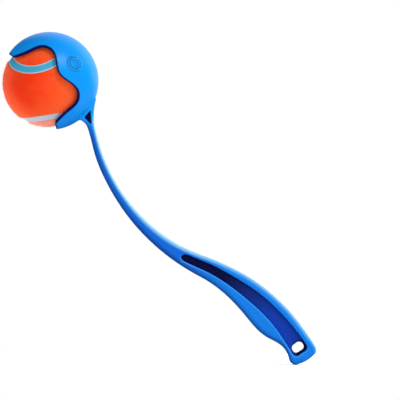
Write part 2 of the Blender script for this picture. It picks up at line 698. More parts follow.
def net_surface(field, low, step):
    """Quads along the zero level of a sampled field, with one point in each crossed cell."""
    inside = field < 0
    filled = np.zeros([n - 1 for n in field.shape], np.int8)
    for corner in np.ndindex(2, 2, 2):
        filled += inside[tuple(slice(c, n - 1 + c) for c, n in zip(corner, field.shape))]
    crossed = (filled > 0) & (filled < 8)
    number = np.full(crossed.shape, -1, np.int64)
    number[crossed] = np.arange(crossed.sum())
    cells = np.argwhere(crossed)
    total = np.zeros((len(cells), 3))
    count = np.zeros(len(cells))
    for axis in range(3):
        for others in np.ndindex(2, 2):
            start = np.insert(others, axis, 0)
            stop = np.insert(others, axis, 1)
            a = field[tuple((cells + start).T)].astype(float)
            b = field[tuple((cells + stop).T)].astype(float)
            hit = (a < 0) != (b < 0)
            t = a[hit] / (a[hit] - b[hit])
            total[hit] += start + (stop - start) * t[:, None]
            count += hit
    points = np.asarray(low) + step * (cells + total / count[:, None])
    quads = []
    for order in ((0, 1, 2), (1, 2, 0), (2, 0, 1)):
        here = inside.transpose(order)[:-1, 1:-1, 1:-1]
        there = inside.transpose(order)[1:, 1:-1, 1:-1]
        cell = number.transpose(order)
        change = here != there
        i, j, k = np.nonzero(change)
        quad = np.stack([cell[i, j, k], cell[i, j + 1, k], cell[i, j + 1, k + 1], cell[i, j, k + 1]], -1)
        turned = there[change]
        quad[turned] = quad[turned][:, ::-1]
        quads.append(quad)
    return points, np.concatenate(quads)


def mirrored(points, quads, step):
    """Half of a form that reaches the Y = 0 plane, made whole."""
    middle = points[:, 1] < step / 4
    points[middle, 1] = 0
    twin = np.arange(len(points))
    twin[~middle] = len(points) + np.arange((~middle).sum())
    whole = np.concatenate([points, points[~middle] * (1, -1, 1)])
    return whole, np.concatenate([quads, twin[quads][:, ::-1]])


def plain_mesh(name, points, faces):
    """Mesh with the given points and faces, shaded smooth."""
    mesh = bpy.data.meshes.new(name)
    mesh.from_pydata(points.tolist(), [], faces.tolist())
    mesh.update()
    mesh.shade_smooth()
    return mesh


def add_object(name, mesh):
    """Object at the origin, in the scene."""
    piece = bpy.data.objects.new(name, mesh)
    bpy.context.scene.collection.objects.link(piece)
    return piece


def mesh_points(mesh):
    """Places of a mesh's vertices."""
    flat = np.zeros(3 * len(mesh.vertices))
    mesh.vertices.foreach_get("co", flat)
    return flat.reshape(-1, 3)


def store(mesh, name, values):
    """Value for each vertex, for the materials to read."""
    mesh.attributes.new(name, "FLOAT", "POINT").data.foreach_set("value", np.asarray(values, np.float32))


# Node helpers


def put(tree, kind, inputs=None, **settings):
    """New node with its settings, whose inputs are given as values or as sockets to link."""
    node = tree.nodes.new(kind)
    for key, value in settings.items():
        setattr(node, key, value)
    for key, value in (inputs or {}).items():
        if isinstance(value, bpy.types.NodeSocket):
            tree.links.new(value, node.inputs[key])
        else:
            node.inputs[key].default_value = value
    return node


def group_tree(name, kind, inputs, outputs):
    """New node group with named sockets, and its two end nodes."""
    tree = bpy.data.node_groups.new(name, kind)
    for way, rows in (("INPUT", inputs), ("OUTPUT", outputs)):
        for label, socket in rows:
            tree.interface.new_socket(label, in_out=way, socket_type="NodeSocket" + socket)
    return tree, tree.nodes.new("NodeGroupInput"), tree.nodes.new("NodeGroupOutput")


def built_once(build):
    """Node group that is built when it is first asked for, and kept under the name of what builds it."""

    def group():
        return bpy.data.node_groups.get(build.__name__) or build(build.__name__)

    return group


def rgba(colour):
    """Colour with its alpha, or the socket that gives it."""
    return colour if isinstance(colour, bpy.types.NodeSocket) else (*colour, 1)


def mix_colour(tree, factor, first, second):
    """Colour mixed from two; returns the output socket."""
    inputs = {0: factor, 6: rgba(first), 7: rgba(second)}
    return put(tree, "ShaderNodeMix", inputs, data_type="RGBA").outputs[2]


def math_node(tree, operation, first, second, clamp=False):
    """Sum, product or the like of two values; returns the output socket."""
    return put(tree, "ShaderNodeMath", {0: first, 1: second}, operation=operation, use_clamp=clamp).outputs[0]


def ranged(tree, value, low, high, to_low=0.0, to_high=1.0):
    """Value mapped softly from one range to another; returns the output socket."""
    inputs = {"Value": value, "From Min": low, "From Max": high, "To Min": to_low, "To Max": to_high}
    return put(tree, "ShaderNodeMapRange", inputs, interpolation_type="SMOOTHSTEP").outputs[0]


def attribute(tree, name):
    """Value that is stored on the mesh; returns the output socket."""
    return put(tree, "ShaderNodeAttribute", attribute_name=name).outputs["Fac"]


# Scale of the grain's broad part, as a share of its fine part's
BROAD_GRAIN = 0.06
# Values of the cloud's noise at which the mottle's mask starts and is full
CLOUD_SPAN = (0.36, 0.66)


@built_once
def fine_grain(name):
    """Shader group: fine grain of a moulded or rubbed surface, as a height and as a roughness."""
    tree, start, end = group_tree(
        name,
        "ShaderNodeTree",
        [("Vector", "Vector"), ("Scale", "Float"), ("Roughness", "Float"), ("Spread", "Float")],
        [("Height", "Float"), ("Roughness", "Float")],
    )
    given = start.outputs
    fine = put(tree, "ShaderNodeTexNoise", {"Vector": given["Vector"], "Scale": given["Scale"], "Detail": 4})
    broad_scale = math_node(tree, "MULTIPLY", given["Scale"], BROAD_GRAIN)
    broad = put(tree, "ShaderNodeTexNoise", {"Vector": given["Vector"], "Scale": broad_scale})
    both = math_node(tree, "ADD", fine.outputs[0], broad.outputs[0])
    spread = math_node(tree, "MULTIPLY", math_node(tree, "SUBTRACT", both, 1), given["Spread"])
    rough = math_node(tree, "ADD", given["Roughness"], spread, clamp=True)
    tree.links.new(fine.outputs[0], end.inputs["Height"])
    tree.links.new(rough, end.inputs["Roughness"])
    return tree


@built_once
def tone_mottle(name):
    """Shader group: soft cloudy change between two colours."""
    inputs = [("Vector", "Vector"), ("Scale", "Float"), ("Color", "Color"), ("Second", "Color")]
    inputs += [("Amount", "Float")]
    tree, start, end = group_tree(name, "ShaderNodeTree", inputs, [("Color", "Color"), ("Mask", "Float")])
    given = start.outputs
    noise = {"Vector": given["Vector"], "Scale": given["Scale"], "Detail": 6, "Roughness": 0.62}
    cloud = put(tree, "ShaderNodeTexNoise", noise)
    mask = math_node(tree, "MULTIPLY", ranged(tree, cloud.outputs[0], *CLOUD_SPAN), given["Amount"])
    tree.links.new(mix_colour(tree, mask, given["Color"], given["Second"]), end.inputs["Color"])
    tree.links.new(mask, end.inputs["Mask"])
    return tree


def new_material(name):
    """Material with its tree, Principled shader and Object coordinates."""
    material = bpy.data.materials.new(name)
    material.use_nodes = True
    tree = material.node_tree
    shader = tree.nodes["Principled BSDF"]
    place = put(tree, "ShaderNodeTexCoord").outputs["Object"]
    return material, tree, shader, place


def add_grain(tree, shader, place, scale, roughness, spread, strength, depth):
    """Roughness and bump of a material from the fine grain group."""
    inputs = {"Vector": place, "Scale": scale, "Roughness": roughness, "Spread": spread}
    grain = put(tree, "ShaderNodeGroup", inputs, node_tree=fine_grain()).outputs
    bump = put(tree, "ShaderNodeBump", {"Strength": strength, "Distance": depth, "Height": grain["Height"]})
    tree.links.new(grain["Roughness"], shader.inputs["Roughness"])
    tree.links.new(bump.outputs[0], shader.inputs["Normal"])


def mottled(tree, place, scale, first, second, amount):
    """Colour from the tone mottle group; returns the output socket."""
    inputs = {"Vector": place, "Scale": scale, "Color": rgba(first), "Second": rgba(second), "Amount": amount}
    return put(tree, "ShaderNodeGroup", inputs, node_tree=tone_mottle()).outputs["Color"]


def scaled(share, colour):
    """Colour made darker or paler by a share."""
    return tuple(share * part for part in colour)


def set_inputs(shader, **values):
    """Plain values of a shader's sockets, named with low lines for their spaces."""
    for name, value in values.items():
        shader.inputs[name.replace("_", " ")].default_value = value


# Shares of a material's own colour in its mottle
SEAM_MOTTLE = 0.8
CORE_MOTTLE = 2.2
FLOOR_MOTTLE = 0.99
# Where the seam band's pale edges start and are full, from its middle, as shares of its half width
SEAM_EDGES = (0.62, 0.86)


def launcher_plastic(finish):
    """Moulded blue: lighter in the thin cup, dark in its recesses and rubbed pale on its edges."""
    material, tree, shader, place = new_material("launcher_plastic")
    base = mix_colour(tree, attribute(tree, "cup_share"), finish.stem_blue, finish.cup_blue)
    deep = mix_colour(tree, attribute(tree, "recess_run"), finish.recess_dark, finish.recess_blue)
    base = mix_colour(tree, attribute(tree, "recess"), base, deep)
    rubbed = math_node(tree, "MULTIPLY", attribute(tree, "edge"), finish.edge_wear)
    base = mix_colour(tree, rubbed, base, finish.edge_blue)
    base = mix_colour(tree, attribute(tree, "back_edge"), base, finish.edge_pale)
    tree.links.new(base, shader.inputs["Base Color"])
    gloss = finish.gloss
    add_grain(tree, shader, place, scale=1400, roughness=gloss, spread=0.06, strength=0.04, depth=0.0002)
    set_inputs(shader, IOR=1.49, Specular_IOR_Level=finish.shine)
    return material


def ball_felt(finish):
    """Napped orange felt with lighter patches and fibres, rubbed pale underneath."""
    material, tree, shader, place = new_material("ball_felt")
    tone = mix_colour(tree, attribute(tree, "warm"), finish.felt_orange, finish.felt_warm)
    cloth = mottled(tree, place, scale=55, first=tone, second=finish.felt_light, amount=0.35)
    fibres = math_node(tree, "MULTIPLY", attribute(tree, "strand"), finish.fibre_light)
    cloth = mix_colour(tree, fibres, cloth, finish.felt_light)
    cloth = mix_colour(tree, attribute(tree, "worn"), cloth, finish.felt_worn)
    tree.links.new(cloth, shader.inputs["Base Color"])
    add_grain(tree, shader, place, scale=1100, roughness=0.92, spread=0.06, strength=0.55, depth=0.0005)
    set_inputs(shader, Sheen_Weight=0.3, Sheen_Roughness=0.4, Sheen_Tint=(1, 0.72, 0.6, 1))
    set_inputs(shader, Specular_IOR_Level=0.05)
    return material


def seam_rubber(finish):
    """Matt light blue band with pale edges, rubbed pale underneath."""
    material, tree, shader, place = new_material("seam_rubber")
    darker = scaled(SEAM_MOTTLE, finish.seam_blue)
    middle = mottled(tree, place, scale=90, first=finish.seam_blue, second=darker, amount=0.4)
    middle = mix_colour(tree, attribute(tree, "worn"), middle, finish.seam_worn)
    from_middle = math_node(tree, "ABSOLUTE", attribute(tree, "across"), 0)
    edges = ranged(tree, from_middle, *SEAM_EDGES)
    tree.links.new(mix_colour(tree, edges, middle, finish.seam_pale), shader.inputs["Base Color"])
    add_grain(tree, shader, place, scale=900, roughness=0.7, spread=0.1, strength=0.25, depth=0.0003)
    set_inputs(shader, Specular_IOR_Level=0.2)
    return material


def core_rubber(finish):
    """Dark moulded rubber of the ball's core."""
    material, tree, shader, place = new_material("core_rubber")
    paler = scaled(CORE_MOTTLE, finish.core_grey)
    tone = mottled(tree, place, scale=120, first=finish.core_grey, second=paler, amount=0.6)
    tree.links.new(tone, shader.inputs["Base Color"])
    add_grain(tree, shader, place, scale=700, roughness=0.75, spread=0.12, strength=0.3, depth=0.0004)
    return material


# Launcher


def sample_launcher(form, low, high, step):
    """Field of the launcher's half with Y above zero, on a grid that straddles the middle plane."""
    counts = [int(math.ceil((b - a) / step)) + 1 for a, b in zip(low, high)]
    x, y, z = (a + step * np.arange(n) for a, n in zip(low, counts))
    field = np.empty(counts, np.float32)
    for first in range(0, counts[0], SLAB):
        part = slice(first, first + SLAB)
        field[part] = form.distance(x[part, None, None], y[None, :, None], z[None, None, :])
    return field


def lip_turn(form, points):
    """Angle of points about the cup's axis, from its back, and their distance from the axis."""
    p, q = form.along_and_across(points[:, 0], points[:, 2])
    return np.arctan2(q, p), np.hypot(p, q)


def lip_faces(form, bm, side, first):
    """Faces of the cup past an angle from its back, on one side of it."""
    turn, reach = lip_turn(form, np.array([face.calc_center_median() for face in bm.faces]))
    found = (side * turn > first) & (side * turn < LIP_END_TURN) & (reach < form.outer + MM)
    bm.faces.ensure_lookup_table()
    return [bm.faces[i] for i in np.nonzero(found)[0]]


def cut_lips(form, cup, mesh):
    """Body and the two lips as three closed meshes, cut where the lips start to spring."""
    bm = bmesh.new()
    bm.from_mesh(mesh)
    layer = bm.faces.layers.int.new("part")
    for mark, turn in ((1, cup.upper_cut), (2, cup.lower_cut)):
        side = math.copysign(1, turn)
        faces = lip_faces(form, bm, side, side * turn - LIP_MARGIN)
        geometry = set(faces)
        for face in faces:
            geometry.update(face.edges)
            geometry.update(face.verts)
        world = CUP_BACK_ANGLE + turn
        normal = side * Vector((-math.sin(world), 0, math.cos(world)))
        bmesh.ops.bisect_plane(bm, geom=list(geometry), dist=ON_CUT, plane_co=form.centre, plane_no=normal)
        for face in lip_faces(form, bm, side, side * turn):
            face[layer] = mark
    meshes = []
    for mark, name in enumerate(("launcher_body", "upper_lip_skin", "lower_lip_skin")):
        copy = bm.copy()
        part = copy.faces.layers.int["part"]
        bmesh.ops.delete(copy, geom=[f for f in copy.faces if f[part] != mark], context="FACES")
        rim = [e for e in copy.edges if e.is_boundary]
        bmesh.ops.holes_fill(copy, edges=rim, sides=0)
        if any(e.is_boundary for e in copy.edges):
            raise RuntimeError(name + " is not closed")
        piece = bpy.data.meshes.new(name)
        copy.to_mesh(piece)
        copy.free()
        meshes.append(piece)
    bm.free()
    return meshes


# Paint of the moulding, in which a pair says where a share is nought and where it is one. The first four are
# places along the stem: of the corners' paint, the cup's blue, the handle's tone and the slim arm's shade
STEM_PAST_TIP = (12 * MM, 2 * MM)
CUP_PAST_TIP = (-4.9 * MM, 9.1 * MM)
HANDLE_STATION = (-30 * MM, 30 * MM)
SLIM_STATION = (-42 * MM, -102 * MM)
# How far a normal leans sideways on a corner, and a margin beside the recess and the cup
CORNER_LEAN = (0.02, 0.27)
OFF_EDGE = 1 * MM
# Pale corners behind the stem's line, and dark ones in front of it
PALE_ARM = 0.88
PALE_DROP = 0.4
PALE_FACING = (0.1, 1)
PALE_POWER = 1.2
DARK_FRONT = 0.7
DARK_SLIM = 0.12
# Deeper blue towards the lips' tips, by the turn from the cup's back, and lighter blue on the handle
UPPER_LIP_TURN = (0.7, 1.8)
UPPER_LIP_DEEPER = 0.12
LOWER_LIP_TURN = (1.2, 1.9)
LOWER_LIP_DEEPER = 0.35
HANDLE_LIGHTER = 0.35
# The recess: depth of its paint below the handle's side, how far the paint runs past its outline, the shares
# of its run between which it turns lighter, and its far side's shade
RECESS_DEPTH = (0.7 * MM, 2.3 * MM)
RECESS_OVERRUN = 0.4 * MM
RECESS_LIGHT = (0.3, 0.7)
FAR_SIDE_SHADE = 0.4
# Shade beside the hang hole, which lies off the hole towards the handle's end and back
HOLE_SHADE = (2.2 * MM, 1 * MM)
HOLE_SHADE_SHIFT = 0.9 * MM
# The root's pocket, and the rim's dark edge by the distance from the mouth
POCKET_DEPTH = (0.6 * MM, 1.8 * MM)
POCKET_OVERRUN = 0.3 * MM
POCKET_PAST_TIP = 24 * MM
RIM_EDGE = (-1 * MM, -0.7 * MM)
# Rubbed edges along the recess: how sharp they are, how near its outline and how far behind the stem's line
RUBBED_CURL = (0.25, 0.95)
RUBBED_REACH = (1.5 * MM, 0.5 * MM)
RUBBED_BACK = (3 * MM, -3 * MM)


class SkinPaint:
    """Normals of a skin of the moulding, and the values that its material reads, at the skin's points."""

    def __init__(self, form, points):
        self.form = form
        self.points = points
        slope, self.value = gradient(form.at, points)
        self.normals = unit(slope)
        self.station, self.behind = form.locate(points[:, 0], points[:, 2])
        self.past_tip = -self.station - form.stem.arm_length
        self.off_middle = np.abs(points[:, 1])
        self.off_cup = form.radius(*points.T) - form.outer
        self.off_recess = form.recess_outline(self.station, self.behind)
        heading = form.stem.junction_heading + np.where(self.station < 0, *form.bends) * self.station
        self.backwards = self.normals[:, 0] * np.cos(heading) + self.normals[:, 2] * np.sin(heading)
        clear = (self.off_recess > OFF_EDGE) & (self.off_cup > OFF_EDGE)
        on_stem = soft_rise(self.past_tip, *STEM_PAST_TIP) * clear
        self.on_corner = on_stem * soft_rise(np.abs(self.normals[:, 1]), *CORNER_LEAN)
        dark_corner = DARK_FRONT * self.on_corner * np.clip(-self.backwards, 0, 1) * (self.behind < 0)
        self.shaded = np.maximum(dark_corner, DARK_SLIM * on_stem * soft_rise(self.station, *SLIM_STATION))

    def back_edge(self):
        """Pale paint on the corners behind the stem's line, weaker on the handle."""
        pale = PALE_ARM - PALE_DROP * soft_rise(self.station, *HANDLE_STATION)
        return pale * self.on_corner * rise(self.backwards, *PALE_FACING) ** PALE_POWER * (self.behind > 0)

    def cup_share(self):
        """Share of the cup's lighter blue: nearly all on the cup, less on its lips and some on the handle."""
        turn, _ = lip_turn(self.form, self.points)
        deeper = UPPER_LIP_DEEPER * soft_rise(turn, *UPPER_LIP_TURN)
        deeper = deeper + LOWER_LIP_DEEPER * soft_rise(-turn, *LOWER_LIP_TURN)
        on_handle = HANDLE_LIGHTER * soft_rise(self.station, *HANDLE_STATION)
        return soft_rise(self.past_tip, *CUP_PAST_TIP) * (1 - deeper) + on_handle

    def recess(self):
        """Share of the dark paint: in the recess and the pocket, along the rim and on the shaded front."""
        form = self.form
        recess = rise(form.stem.handle_depth / 2 - self.off_middle, *RECESS_DEPTH)
        recess = recess * (self.off_recess < RECESS_OVERRUN)
        in_root = (self.past_tip > 0) & (self.past_tip < POCKET_PAST_TIP) & (self.off_cup > -POCKET_OVERRUN)
        in_pocket = in_root & (form.pocket_outline(self.station, self.behind) < POCKET_OVERRUN)
        pocket = rise(form.stem.tip_depth / 2 - self.off_middle, *POCKET_DEPTH) * in_pocket
        rim = rise(form.rim_distance(self.points), *RIM_EDGE) * (self.off_cup < OFF_EDGE)
        return np.maximum.reduce([recess, pocket, rim, self.shaded])

    def recess_run(self):
        """How light the dark paint is: most at the recess's open lower end, but not beside the hang hole."""
        form = self.form
        run = rise(self.station, -form.stem.recess_top, form.recess_end)
        front = np.interp(self.station, form.recess_grid, form.recess_front)
        back = np.interp(self.station, form.recess_grid, form.recess_back)
        light = rise(run, *RECESS_LIGHT) * (1 - FAR_SIDE_SHADE * soft_rise(self.behind, -front, back))
        beside = form.hole_outline(self.station - HOLE_SHADE_SHIFT, self.behind - HOLE_SHADE_SHIFT)
        shade = rise(beside, *HOLE_SHADE)
        shade = shade * (form.hole_outline(self.station, self.behind) > -HOLE_SHADE_SHIFT)
        return light * (1 - shade) * (self.past_tip < 0) * (self.shaded == 0)

    def edge(self):
        """Rubbed edges along the recess, on its front side and at its end."""
        shifts = EDGE_STEP * np.concatenate([np.eye(3), -np.eye(3)])
        around = sum(self.form.at(self.points + shift) for shift in shifts)
        curl = (around - len(shifts) * self.value) / EDGE_STEP**2 * MM
        by_recess = rise(np.abs(self.off_recess), *RUBBED_REACH)
        by_recess *= soft_rise(self.behind, *RUBBED_BACK) + (self.station > self.form.recess_end - OFF_EDGE)
        return rise(curl, *RUBBED_CURL) * np.minimum(by_recess, 1)


def finish_skin(form, mesh, material):
    """Exact normals, stored paint and material of a skin of the moulding."""
    paint = SkinPaint(form, mesh_points(mesh))
    mesh.shade_smooth()
    mesh.normals_split_custom_set_from_vertices(paint.normals.tolist())
    for name in ("back_edge", "cup_share", "recess", "recess_run", "edge"):
        store(mesh, name, getattr(paint, name)())
    mesh.materials.clear()
    mesh.materials.append(material)


class LAUNCHER_OT_moulding(bpy.types.Operator):
    """Build the one-piece moulding: handle, arm and cup, with the two lips that spring"""

    bl_idname = "launcher.moulding"
    bl_label = "Launcher Moulding"

    def execute(self, context):
        settings = context.scene.launcher
        form = LauncherForm(settings.stem, settings.cup)
        low = (CAD_BOX[0].x - 2 * VOXEL, -VOXEL / 2, CAD_BOX[0].z - 2 * VOXEL)
        high = (CAD_BOX[1].x + 2 * VOXEL, CAD_BOX[1].y + 3 * VOXEL, CAD_BOX[1].z + 2 * VOXEL)
        points, quads = net_surface(sample_launcher(form, low, high, VOXEL), low, VOXEL)
        points = settle(form.at, points, VOXEL / 2)
        points, quads = mirrored(points, quads, VOXEL)
        whole = plain_mesh("launcher_whole", points, quads)
        meshes = cut_lips(form, settings.cup, whole)
        material = launcher_plastic(settings.finish)
        for mesh in meshes:
            finish_skin(form, mesh, material)
        body, upper, lower = (add_object(mesh.name, mesh) for mesh in meshes)
        start = form.point(-BEND_START_SHARE * settings.stem.arm_length)
        end = form.point(-BEND_END_SHARE * settings.stem.arm_length)
        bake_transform(body)
        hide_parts("handle", "arm_shaft", "arm_tip", "ball_cup")
        rows = (
            (upper, "upper_lip", settings.cup.upper_cut, settings.cup.upper_spring),
            (lower, "lower_lip", settings.cup.lower_cut, settings.cup.lower_spring),
        )
        for lip, node, turn, spring in rows:
            world = CUP_BACK_ANGLE + turn
            side = math.copysign(1, turn)
            start = Vector(form.centre) + form.inner * Vector((math.cos(world), 0, math.sin(world)))
            end = start + side * spring * Vector((-math.sin(world), 0, math.cos(world)))
            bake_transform(lip)
            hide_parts(node)
        bpy.data.meshes.remove(whole)
        return {"FINISHED"}


# Ball

# The search for the nearest point of the seam: rounds, least slope and longest stride, in radians
SEAM_ROUNDS = 3
SEAM_SLOPE = 0.05
SEAM_STRIDE = 0.05
# The felt: gap beside the seam band, depth and reach of the layer in which its field is worked out, and depth
# of the skin that carries the nap
SEAM_GAP = 0.05 * MM
FELT_MIDDLE = 2 * MM
FELT_REACH = 4 * MM
NAP_DEPTH = 0.5 * MM
# Wear underneath: its greatest share, and the shares of the radius below the ball's middle where it sets in
WORN = 0.85
FELT_WORN = (0.8, 0.9)
SEAM_WORN = (0.6, 0.8)
# Where the felt's tone is coolest, and how far from there it turns warm, in radii
COOL_SPOT = (-0.45, -0.85, -0.05)
WARM_SPAN = (0.25, 1)


class SeamCurve:
    """The seam's closed curve on a ball of radius one, and how far points lie from it."""

    def __init__(self, ball):
        self.swing = ball.seam_swing
        self.ripple = ball.seam_ripple
        self.height = 2 * math.sqrt(ball.seam_swing * ball.seam_ripple)
        a, b, c = ball.seam_tilt
        tilt = Matrix.Rotation(a, 3, "X") @ Matrix.Rotation(b, 3, "Y") @ Matrix.Rotation(c, 3, "Z")
        self.tilt = np.array(tilt)

    def spot(self, t, rate=0):
        """Point of the curve, or its first or second rate of change."""
        phase = rate * math.pi / 2
        x = self.swing * np.cos(t + phase) + self.ripple * 3**rate * np.cos(3 * t + phase)
        y = self.swing * np.sin(t + phase) - self.ripple * 3**rate * np.sin(3 * t + phase)
        z = self.height * 2**rate * np.sin(2 * t + phase)
        return np.stack([x, y, z], -1)

    def offset(self, ways):
        """Angle from the seam's middle to directions from the ball's centre, with a sign for the side."""
        ways = ways @ self.tilt
        t = np.linspace(0, FULL_TURN, SEAM_STEPS, endpoint=False)
        t = t[(ways @ self.spot(t).T).argmax(1)]
        for _ in range(SEAM_ROUNDS):
            miss = ways - self.spot(t)
            pace = self.spot(t, 1)
            slope = (pace**2).sum(1) - (miss * self.spot(t, 2)).sum(1)
            stride = (miss * pace).sum(1) / np.maximum(slope, SEAM_SLOPE)
            t = t + np.clip(stride, -SEAM_STRIDE, SEAM_STRIDE)
        across = unit(np.cross(self.spot(t), self.spot(t, 1)))
        return np.arcsin(np.clip((ways * across).sum(1), -1, 1))


def felt_field(seam, ball, side):
    """Distance field of one felt panel, from the ball's centre."""
    core = BALL_RADIUS - ball.felt
    half = ball.seam_width / 2 + SEAM_GAP

    def field(points):
        radius = np.linalg.norm(points, axis=1)
        away = side * seam.offset(points / np.maximum(radius, TINY)[:, None]) * BALL_RADIUS
        skin = rounded_overlap(ball.felt_edge, radius - BALL_RADIUS, half - away)
        return np.maximum(skin, core - radius)

    return field


def felt_mesh(name, field):
    """Closed mesh of one felt panel, about the ball's centre."""
    reach = BALL_RADIUS + 2 * FELT_VOXEL
    steps = np.arange(-reach, reach, FELT_VOXEL)
    x, y, z = np.meshgrid(steps, steps, steps, indexing="ij")
    points = np.stack([x, y, z], -1).reshape(-1, 3)
    radius = np.linalg.norm(points, axis=1)
    values = np.where(radius < BALL_RADIUS / 2, BALL_RADIUS, radius - BALL_RADIUS)
    near = np.abs(radius - BALL_RADIUS + FELT_MIDDLE) < FELT_REACH + 2 * FELT_VOXEL
    values[near] = field(points[near])
    values[~near] = np.abs(values[~near]) + FELT_VOXEL
    net, quads = net_surface(values.reshape(x.shape), (-reach,) * 3, FELT_VOXEL)
    return plain_mesh(name, settle(field, net, FELT_VOXEL / 2), quads)


@built_once
def felt_nap(name):
    """Geometry Nodes: fibres over a felt panel, lying all ways."""
    inputs = [("Geometry", "Geometry"), ("Density", "Float"), ("Length", "Float"), ("Thickness", "Float")]
    inputs += [("Least", "Float"), ("Greatest", "Float"), ("Lean", "Float"), ("Seed", "Int")]
    inputs += [("Material", "Material")]
    tree, start, end = group_tree(name, "GeometryNodeTree", inputs, [("Geometry", "Geometry")])
    given = start.outputs
    outer = put(tree, "GeometryNodeInputNamedAttribute", {"Name": "outer"}, data_type="FLOAT").outputs[0]
    density = math_node(tree, "MULTIPLY", outer, given["Density"])
    points = put(
        tree,
        "GeometryNodeDistributePointsOnFaces",
        {"Mesh": given["Geometry"], "Density": density, "Seed": given["Seed"]},
    )
    spread = put(
        tree,
        "FunctionNodeRandomValue",
        {0: (-1, -1, -1), 1: (1, 1, 1), "Seed": given["Seed"]},
        data_type="FLOAT_VECTOR",
    )
    leaning = {0: spread.outputs[0], "Scale": given["Lean"]}
    lean = put(tree, "ShaderNodeVectorMath", leaning, operation="SCALE")
    rising = {0: points.outputs["Normal"], 1: lean.outputs[0]}
    way = put(tree, "ShaderNodeVectorMath", rising, operation="ADD")
    turn = put(tree, "FunctionNodeAlignRotationToVector", {"Vector": way.outputs[0]}, axis="Z")
    sizes = {2: given["Least"], 3: given["Greatest"], "Seed": given["Seed"]}
    size = put(tree, "FunctionNodeRandomValue", sizes, data_type="FLOAT")
    fibre = put(
        tree,
        "GeometryNodeMeshCone",
        {"Vertices": 3, "Radius Top": 0.0, "Radius Bottom": given["Thickness"], "Depth": given["Length"]},
        fill_type="NGON",
    )
    marked = put(
        tree,
        "GeometryNodeStoreNamedAttribute",
        {"Geometry": fibre.outputs["Mesh"], "Name": "strand", "Value": 1.0},
        data_type="FLOAT",
        domain="POINT",
    )
    nap = put(
        tree,
        "GeometryNodeInstanceOnPoints",
        {
            "Points": points.outputs["Points"],
            "Instance": marked.outputs[0],
            "Rotation": turn.outputs[0],
            "Scale": size.outputs[1],
        },
    )
    joined = put(tree, "GeometryNodeJoinGeometry", {0: nap.outputs[0]})
    tree.links.new(given["Geometry"], joined.inputs[0])
    real = put(tree, "GeometryNodeRealizeInstances", {"Geometry": joined.outputs[0]})
    paint = {"Geometry": real.outputs[0], "Material": given["Material"]}
    painted = put(tree, "GeometryNodeSetMaterial", paint)
    tree.links.new(painted.outputs[0], end.inputs[0])
    return tree


@built_once
def loop_band(name):
    """Geometry Nodes: a band with a rounded section swept along a loop, its flat side facing outwards."""
    inputs = [("Geometry", "Geometry"), ("Width", "Float"), ("Height", "Float"), ("Corner", "Float")]
    inputs += [("Material", "Material")]
    tree, start, end = group_tree(name, "GeometryNodeTree", inputs, [("Geometry", "Geometry")])
    given = start.outputs
    path = put(tree, "GeometryNodeMeshToCurve", {"Mesh": given["Geometry"]})
    outward = put(tree, "GeometryNodeInputNamedAttribute", {"Name": "outward"}, data_type="FLOAT_VECTOR")
    facing = {"Curve": path.outputs[0], "Normal": outward.outputs[0]}
    faced = put(tree, "GeometryNodeSetCurveNormal", facing, mode="FREE")
    section = put(
        tree,
        "GeometryNodeCurvePrimitiveQuadrilateral",
        {"Width": given["Height"], "Height": given["Width"]},
        mode="RECTANGLE",
    )
    round_section = put(
        tree,
        "GeometryNodeFilletCurve",
        {"Curve": section.outputs[0], "Count": 3, "Radius": given["Corner"]},
        mode="POLY",
    )
    spot = put(tree, "GeometryNodeInputPosition")
    parts = put(tree, "ShaderNodeSeparateXYZ", {0: spot.outputs[0]})
    half = math_node(tree, "MULTIPLY", given["Width"], 0.5)
    share_across = math_node(tree, "DIVIDE", parts.outputs["Y"], half)
    marked = put(
        tree,
        "GeometryNodeStoreNamedAttribute",
        {"Geometry": round_section.outputs[0], "Name": "across", "Value": share_across},
        data_type="FLOAT",
        domain="POINT",
    )
    sweep = {"Curve": faced.outputs[0], "Profile Curve": marked.outputs[0]}
    swept = put(tree, "GeometryNodeCurveToMesh", sweep)
    real = put(tree, "GeometryNodeRealizeInstances", {"Geometry": swept.outputs[0]})
    paint = {"Geometry": real.outputs[0], "Material": given["Material"]}
    painted = put(tree, "GeometryNodeSetMaterial", paint)
    tree.links.new(painted.outputs[0], end.inputs[0])
    return tree


def grown(piece, tree, **values):
    """Piece with its mesh replaced by what a Geometry Nodes tree makes of it."""
    modifier = piece.modifiers.new(tree.name, "NODES")
    modifier.node_group = tree
    for item in tree.interface.items_tree:
        if item.item_type == "SOCKET" and item.in_out == "INPUT" and item.name in values:
            modifier[item.identifier] = values[item.name]
    graph = bpy.context.evaluated_depsgraph_get()
    mesh = bpy.data.meshes.new_from_object(piece.evaluated_get(graph))
    before = piece.data
    piece.modifiers.clear()
    mesh.name = before.name
    piece.data = mesh
    bpy.data.meshes.remove(before)
    return piece


def face_outwards(mesh):
    """Normals of closed forms turned outwards."""
    bm = bmesh.new()
    bm.from_mesh(mesh)
    bmesh.ops.recalc_face_normals(bm, faces=bm.faces)
    bm.to_mesh(mesh)
    bm.free()
    mesh.shade_smooth()


def loop_object(name, *loops):
    """Closed loops of edges, each given by its points and by the ways outwards that they carry."""
    edges = []
    first = 0
    for points, outward in loops:
        count = len(points)
        edges += [(first + i, first + (i + 1) % count) for i in range(count)]
        first += count
    mesh = bpy.data.meshes.new(name)
    mesh.from_pydata(np.concatenate([points for points, outward in loops]).tolist(), edges, [])
    ways = np.concatenate([outward for points, outward in loops]).astype(np.float32)
    mesh.attributes.new("outward", "FLOAT_VECTOR", "POINT").data.foreach_set("vector", ways.ravel())
    return add_object(name, mesh)


def store_worn(mesh, span):
    """How far each place of the ball is rubbed, between two shares of its radius below its middle."""
    depth = (BALL_CENTRE[2] - mesh_points(mesh)[:, 2]) / BALL_RADIUS
    store(mesh, "worn", WORN * rise(depth, *span))


